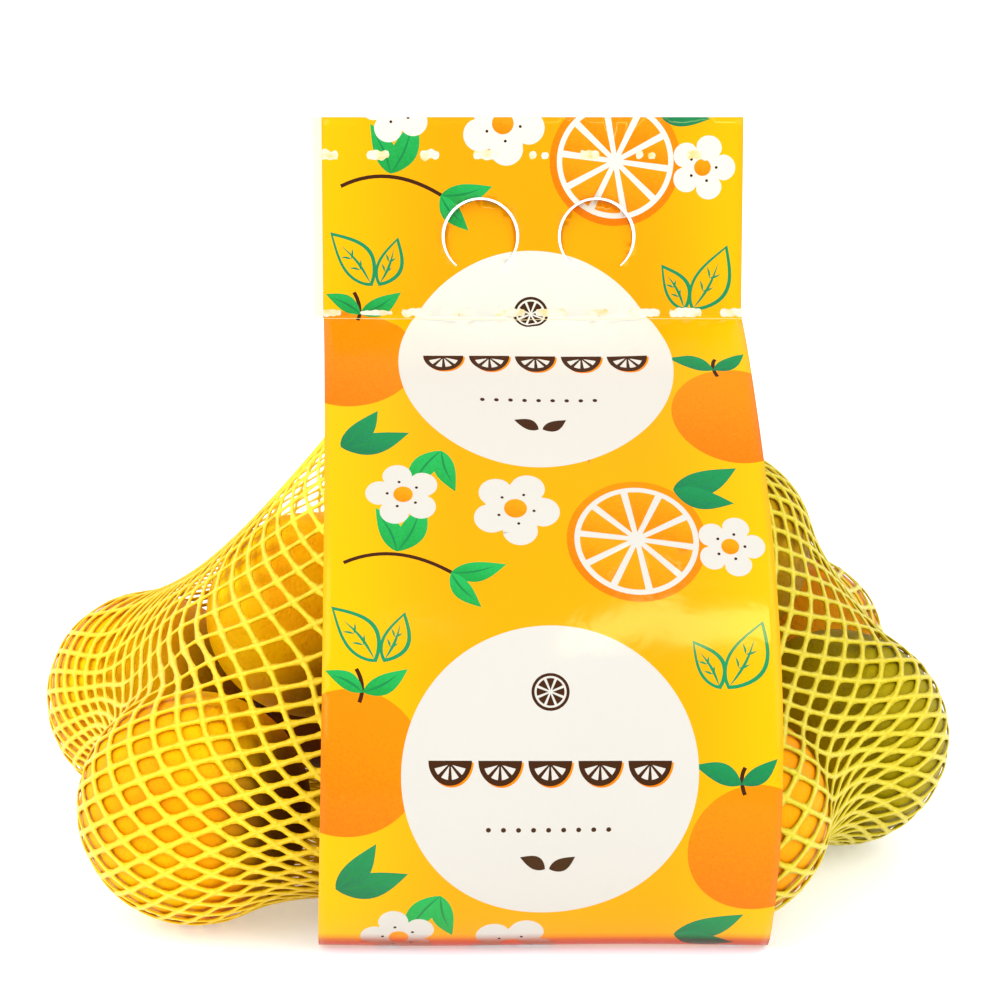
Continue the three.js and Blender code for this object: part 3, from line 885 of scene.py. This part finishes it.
def handle_cut(u, v):
    """The C of a finger handle: a cut that is widest at its top, where the flap has moved back."""
    half = math.radians(HANDLE_OPEN)
    a = np.linspace(math.pi / 2 + half, 2.5 * math.pi - half, 56)
    gain = KERF_GAIN * np.sin((a - a[0]) / (a[-1] - a[0]) * math.pi)
    wide = HANDLE_KERF / 2 * (KERF_AT_ENDS + gain)
    ring = np.stack([np.cos(a), np.sin(a)], axis=1)
    outer, inner = ring * (HANDLE_RADIUS + wide)[:, None], ring * (HANDLE_RADIUS - wide)[:, None]
    return np.vstack([outer, inner[::-1]]) + [u, v]


def flap_push(u, v):
    """How far back a point of the film stands because its flap is pushed in, in mm."""
    push = np.zeros(len(u))
    hinge = HANDLE_DOWN + HANDLE_RADIUS * math.cos(math.radians(HANDLE_OPEN))
    for centre in HANDLE_CENTRES:
        inside = np.hypot(u - centre, v - HANDLE_DOWN) < HANDLE_RADIUS - 0.05
        push = np.where(inside, np.maximum(hinge - v, 0) * FLAP_TILT, push)
    return push


UPPER_WELD = 12.0  # down to the upper row of marks
UPPER_PITCH, LOWER_PITCH = 17.1, 14.4  # from mark to mark
INSET = 0.02  # marks end this far inside the film's edges


def ragged_mark(left, right, middle, tall, seed):
    """One mark of the sealing bar, with uneven edges above and below its middle."""
    u = np.clip(np.arange(left, right, 0.35), INSET, BAND_WIDTH - INSET)
    ends = np.sin(np.linspace(0, math.pi, len(u))) ** 0.16
    top, low = ([tall * (0.6 + 0.4 * noise.noise(Vector((a * 0.5, row, 0)))) for a in u]
                for row in (seed, seed + 9))
    return ("weld", np.vstack([np.stack([u, middle - ends * top - INSET], axis=1),
                               np.stack([u, middle + ends * low + INSET], axis=1)[-2:0:-1]]))


def weld_marks(header):
    """Two rows of ragged marks that the sealing bar leaves, pale with painted glare off the melted film.
    """
    marks = []
    for k in range(8):
        u = 1.6 + k * UPPER_PITCH
        if k in (4, 6):
            marks.append(ragged_mark(u - 3.6, u - 0.8, UPPER_WELD, 2.0, k))
            marks.append(ragged_mark(u + 0.3, u + 2.9, UPPER_WELD + 0.2, 1.7, k + 20))
        else:
            marks.append(ragged_mark(u - 4.4, u + 3.8 - (k % 3) * 0.8, UPPER_WELD, 2.5, k))
    for k in range(10):
        u = 2.0 + k * LOWER_PITCH
        tall = 1.9 + 1.3 * noise.noise(Vector((k * 1.7, 3.3, 0)))
        marks.append(ragged_mark(u - 3.5 - k % 3, u + 4.0 + (k * 2) % 3, header - 1.4, tall, k + 40))
    crease = [(INSET, header + 0.9), (BAND_WIDTH - INSET, header + 0.9),
              (BAND_WIDTH - INSET, header + 1.15), (INSET, header + 1.15)]
    return marks + [("crease", np.array(crease))]


def film_ripple(u, v, header, total):
    """How far the film stands off its smooth run, in mm: gathers at the weld, dents and soft waves."""
    past_weld = v - header
    fade = np.exp(-np.abs(past_weld) / np.where(past_weld > 0, 15, 6))
    gather = fade * np.clip(np.abs(past_weld) / 3, 0, 1)
    ripple = 0.40 * gather * (np.sin(u * 0.55 + 1.5 * np.sin(u * 0.13)) + 0.5 * np.sin(u * 1.3 + 2))
    body = np.clip(past_weld / 40, 0, 1) * np.clip((total - 100 - v) / 40, 0, 1)
    ripple += body * (0.45 * np.sin(u * 0.085 + v * 0.033 + 1.1) + 0.35 * np.sin(u * 0.031 - v * 0.06))
    return ripple + 0.25 * np.sin(u * 0.052 + v * 0.021) * np.clip(v / 30, 0, 1)


INKS = {
    # shape: (name, colour, second colour, what turns it to the second)
    "ground": ("yellow_ground", "#E69600", "#E8AD00", "edges"),
    # painted light: white ink is paler in the header, for the light that comes through the film from
    # behind
    "white": ("white_ink", "#D8D5C8", "#C5C1B9", "header"),
    "fruit": ("orange_ink", "#E07C00", "#D86A00", "shade"),
    "pulp": ("pulp_ink", "#E68C08", "#E07800", "shade"),
    "leaf": ("leaf_green_ink", "#12A04C", "#008C3A", "shade"),
    "dark_leaf": ("dark_leaf_ink", "#007E48", "#006C44", "shade"),
    "rib": ("rib_ink", "#00783F", None, None),
    "line": ("green_line_ink", "#008350", None, None),
    "brown": ("brown_ink", "#33120A", None, None),
    # the weld marks are real; their pale, mottled colour is painted glare
    "weld": ("weld_mark_glare", "#DED8C6", "#E2BE68", "mottle"),
    "crease": ("weld_crease", "#DCCA94", None, None),
}
MESH_COLUMNS = 46
MESH_ROW, FINE_ROW, FINE_FROM = 3.0, 1.8, 260  # mm from row to row, finer from here on down to the fold
SHADE_LOW, SHADE_LEFT = 0.4, 0.15  # how much more of its second colour a shape has at its foot and left
FILM_THICK = 0.08
FOLD_HIGH, FOLD_OVER = 7.5, 3  # painted shade: the film is darker from this height down, fully so this much lower


def printed_sheet(shapes, total, turned):
    """The flat band meshed along its print: points, triangles, their inks, and shades by corner."""
    corners, outlines, kinds = [], [], []
    for kind, points in shapes:
        following = np.roll(points, -1, axis=0)
        if (points[:, 0] * following[:, 1] - points[:, 1] * following[:, 0]).sum() < 0:
            points = points[::-1]
        outlines.append(list(range(len(corners), len(corners) + len(points))))
        corners.extend(Vector(p) for p in points)
        kinds.append(list(INKS).index(kind) if kind in INKS else None)
    drawn = [np.array([corners[k] for k in outline]) for outline in outlines]
    centres = [outline.mean(axis=0) for outline in drawn]
    reaches = [np.ptp(outline[:, 1]) / 2 for outline in drawn]
    rows = np.concatenate([np.arange(0, FINE_FROM, MESH_ROW), np.arange(FINE_FROM, total, FINE_ROW),
                           [total]])
    corners += [Vector((u, v)) for v in rows for u in np.linspace(0, BAND_WIDTH, MESH_COLUMNS)]
    flat, _, triangles, _, _, owners = delaunay_2d_cdt(corners, [], outlines, 0, 1e-3, True)
    flat = np.array([tuple(p) for p in flat])
    kept, inks, shades = [], [], []
    for triangle, owner in zip(triangles, owners):
        top = max(owner, default=0)
        if 0 not in owner or kinds[top] is None:
            continue
        kept.append(tuple(triangle)[::-1] if turned else tuple(triangle))
        inks.append(kinds[top])
        for corner in kept[-1]:
            off = (flat[corner] - centres[top]) / max(reaches[top], 1e-6)
            shades.append(0.5 + SHADE_LOW * off[1] - SHADE_LEFT * off[0])
    used = np.unique(kept)
    return flat[used], np.searchsorted(used, kept).tolist(), inks, shades


def film_band(name, node, side, towards, print_shapes, materials):
    """A band as one sheet: print outlines are edges of its mesh, and the handle cuts are holes."""
    run, down = whole_run(side, towards)
    header, total = down[HEADER_STEPS - 1], down[-1]
    web = np.array([(0, 0), (BAND_WIDTH, 0), (BAND_WIDTH, total), (0, total)])
    cuts = [("cut", handle_cut(centre, HANDLE_DOWN)) for centre in HANDLE_CENTRES]
    shapes = [("ground", web)] + print_shapes + weld_marks(header) + cuts
    flat, faces, inks, shades = printed_sheet(shapes, total, turned=towards < 0)
    u, v = flat.T
    y, z = np.interp(v, down, run[:, 0]), np.interp(v, down, run[:, 1])
    slope = np.stack([np.interp(v + 0.5, down, run[:, k]) - np.interp(v - 0.5, down, run[:, k])
                      for k in (0, 1)])
    slope /= np.maximum(np.hypot(*slope), 1e-9)
    out_y, out_z = towards * -slope[1], towards * slope[0]
    ripple = film_ripple(u, v, header, total)
    ripple = np.where(v < header, ripple * towards, np.maximum(ripple, -0.5))
    x = band_centre(z) - BAND_WIDTH / 2 + u
    points = np.stack([x, y + out_y * ripple + flap_push(u, v), z + out_z * ripple], axis=1)
    piece = new_piece(name, points, faces, node, materials)
    piece.data.polygons.foreach_set("material_index", inks)
    loops = np.array([loop.vertex_index for loop in piece.data.loops])
    piece.data.uv_layers.new(name="print").data.foreach_set(
        "uv", np.stack([u[loops] / BAND_WIDTH, v[loops] / total], axis=1).ravel())
    piece.data.attributes.new("shade", "FLOAT", "CORNER").data.foreach_set("value", shades)
    # painted shade where the film turns under onto the floor
    before_lap = v < down[-2] - 1
    fold_shade = np.where(before_lap, np.clip((FOLD_HIGH - z) / FOLD_OVER, 0, 1), 0)
    piece.data.attributes.new("fold", "FLOAT", "POINT").data.foreach_set("value", fold_shade)
    thick = piece.modifiers.new("film", "SOLIDIFY")
    thick.thickness = FILM_THICK * MM
    thick.offset = 0


CRINKLE, SPECKLE, GLARE_PATCH = 16, 0.8, 4  # mm across a crinkle, a dot of ink and a patch of painted glare on a weld mark
FOLD_SHADE_TINT = (0.60, 0.10, 0.035, 1.0)  # painted shade in the fold: what light is left of each colour there


def second_share(tree, where, by):
    """How much an ink has turned to its second colour: a socket from 0 to 1."""
    if by == "edges":
        across = add(tree, "ShaderNodeSeparateXYZ", {"Vector": where.outputs["UV"]})
        middle = add(tree, "ShaderNodeMath", {0: across.outputs["X"], 1: 0.52}, operation="SUBTRACT")
        off = add(tree, "ShaderNodeMath", {0: middle.outputs[0]}, operation="ABSOLUTE")
        value, low, high = off.outputs[0], 0.2, 0.54
    elif by == "shade":
        speckle = add(tree, "ShaderNodeTexNoise", {"Vector": where.outputs["Object"],
                                                   "Scale": per_metre(SPECKLE)})
        shade = add(tree, "ShaderNodeAttribute", attribute_name="shade")
        grained = add(tree, "ShaderNodeMath", {0: speckle.outputs["Fac"], 1: shade.outputs["Fac"]},
                      operation="ADD")
        value, low, high = grained.outputs[0], 0.75, 1.45
    # painted light: paler in the header, darker from it down
    elif by == "header":
        down = add(tree, "ShaderNodeSeparateXYZ", {"Vector": where.outputs["UV"]})
        value, low, high = down.outputs["Y"], 0.15, 0.24
    else:
        # painted glare: mottled patches on the weld marks
        glare_blotches = add(tree, "ShaderNodeTexNoise", {"Vector": where.outputs["Object"],
                                                    "Scale": per_metre(GLARE_PATCH), "Detail": 2.0})
        value, low, high = glare_blotches.outputs["Fac"], 0.45, 0.75
    return add(tree, "ShaderNodeMapRange", {"Value": value, "From Min": low, "From Max": high},
               interpolation_type="SMOOTHSTEP" if by == "edges" else "LINEAR").outputs[0]


def ink(name, colour, second, by):
    """Printed polyethylene film: ink under a gloss, with the crinkle of thin film and painted shade at its
    fold.

    An ink may turn to a second colour: to the band's edges, over each shape's own shade, from the
    header down, where the paler header is painted light coming through from behind, or in mottled patches."""
    material, tree, shader = new_surface("film_" + name, **{
        "Roughness": 0.14, "IOR": 1.5, "Specular IOR Level": 0.3, "Specular Tint": (1.0, 0.82, 0.3, 1.0)})
    where = add(tree, "ShaderNodeTexCoord")
    crinkle = add(tree, "ShaderNodeTexNoise", {"Vector": where.outputs["Object"],
                                               "Scale": per_metre(CRINKLE), "Detail": 3.0,
                                               "Distortion": 0.6})
    bump = add(tree, "ShaderNodeBump", {"Height": crinkle.outputs["Fac"], "Strength": 0.3,
                                        "Distance": 0.8 * MM})
    tree.links.new(bump.outputs[0], shader.inputs["Normal"])
    tone = linear(colour)
    if by:
        tone = add(tree, "ShaderNodeMix", {"Factor": second_share(tree, where, by), "A": linear(colour),
                                           "B": linear(second)}, data_type="RGBA").outputs["Result"]
    fold = add(tree, "ShaderNodeAttribute", attribute_name="fold")
    fold_shaded = add(tree, "ShaderNodeMix", {"Factor": fold.outputs["Fac"], "A": tone, "B": FOLD_SHADE_TINT},
                 data_type="RGBA", blend_type="MULTIPLY")
    tree.links.new(fold_shaded.outputs["Result"], shader.inputs["Base Color"])
    return material


inks = [ink(*spec) for spec in INKS.values()]
film_band("film_front", "front_film", FRONT, -1, front_print(), inks)
film_band("film_back", "back_film", BACK, 1, back_print(), inks)

# ------------------------------------------------------------------ the back film's clear margin
# Beside the header the back film goes on past its print. The narrow strip there is bare
# polyethylene of the same film, see-through and a little milky.

MARGIN_WIDTH = 2.8
MARGIN_ROWS = 80
clear, _, _ = new_surface("clear_film", **{
    "Roughness": 0.2, "IOR": 1.5, "Base Color": linear("#C8B884"), "Alpha": 0.66})
run, down = whole_run(BACK, 1)
rows = np.linspace(0, down[HEADER_STEPS - 1], MARGIN_ROWS)
y, z = np.interp(rows, down, run[:, 0]), np.interp(rows, down, run[:, 1])
edge = band_centre(z) - BAND_WIDTH / 2
sides = [np.stack([x, y, z], axis=1) for x in (edge - MARGIN_WIDTH, edge)]
points = np.stack(sides, axis=1).reshape(-1, 3)
faces = [(2 * k, 2 * k + 1, 2 * k + 3, 2 * k + 2) for k in range(MARGIN_ROWS - 1)]
new_piece("film_back_margin", points, faces, "back_film", [clear])

# ------------------------------------------------------------------ the studio
# A white sweep of acrylic lit a little from below, a pale surround and soft boxes: a high-key light.

bpy.context.scene.view_settings.view_transform = "Standard"
bpy.ops.mesh.primitive_plane_add(size=8)
floor = bpy.context.object
floor.name = "floor"
acrylic, _, _ = new_surface("white_acrylic", **{
    "Roughness": 0.28, "Base Color": linear("#F0F4FC"),
    "Emission Color": (1, 1, 1, 1), "Emission Strength": 0.34})
floor.data.materials.append(acrylic)

world = bpy.data.worlds.new("studio")
bpy.context.scene.world = world
world.use_nodes = True
world.node_tree.nodes["Background"].inputs["Color"].default_value = (1, 1, 1, 1)
world.node_tree.nodes["Background"].inputs["Strength"].default_value = 1.0


def diffused_light(name, shines_to, strength):
    """A large diffuser far off, which lights the whole sweep alike."""
    light = bpy.data.lights.new(name, "SUN")
    light.energy = strength
    light.angle = math.radians(50)
    lamp = bpy.data.objects.new(name, light)
    lamp.rotation_euler = Vector(shines_to).to_track_quat("-Z", "Y").to_euler()
    bpy.context.scene.collection.objects.link(lamp)


diffused_light("left_box", (0.72, 0.38, -0.60), 1.75)
diffused_light("right_box", (-0.72, 0.38, -0.60), 1.25)


def strip_box(name, at, aims_at, size, power):
    """A small bright box that only shows as a streak in the gloss of the film and the rinds."""
    light = bpy.data.lights.new(name, "AREA")
    light.shape = "RECTANGLE"
    light.size, light.size_y = (side * MM for side in size)
    light.energy = power
    lamp = bpy.data.objects.new(name, light)
    lamp.location = placed([at])[0]
    lamp.rotation_euler = (Vector(aims_at) - Vector(at)).to_track_quat("-Z", "Y").to_euler()
    lamp.visible_diffuse = False
    bpy.context.scene.collection.objects.link(lamp)


strip_box("shoulder_box", (125, -455, 706), (50, -105, 100), (190, 120), 0.9)

# the camera stands 0.95 m off, 15 degrees up
CAMERA_RISE = math.radians(15)
CAMERA_AWAY = 950
AXIS_HEIGHT = 105  # how far the view's middle passes above the pack's foot, square to the view
camera = bpy.data.objects.new("camera", bpy.data.cameras.new("camera"))
camera.data.sensor_width = 36
camera.data.lens = 100.08
away = np.array([0, -math.cos(CAMERA_RISE), math.sin(CAMERA_RISE)]) * CAMERA_AWAY
above = np.array([0, math.sin(CAMERA_RISE), math.cos(CAMERA_RISE)]) * AXIS_HEIGHT
camera.location = placed([away + above])[0]
camera.rotation_euler = (math.pi / 2 - CAMERA_RISE, 0, 0)
bpy.context.scene.collection.objects.link(camera)
bpy.context.scene.camera = camera
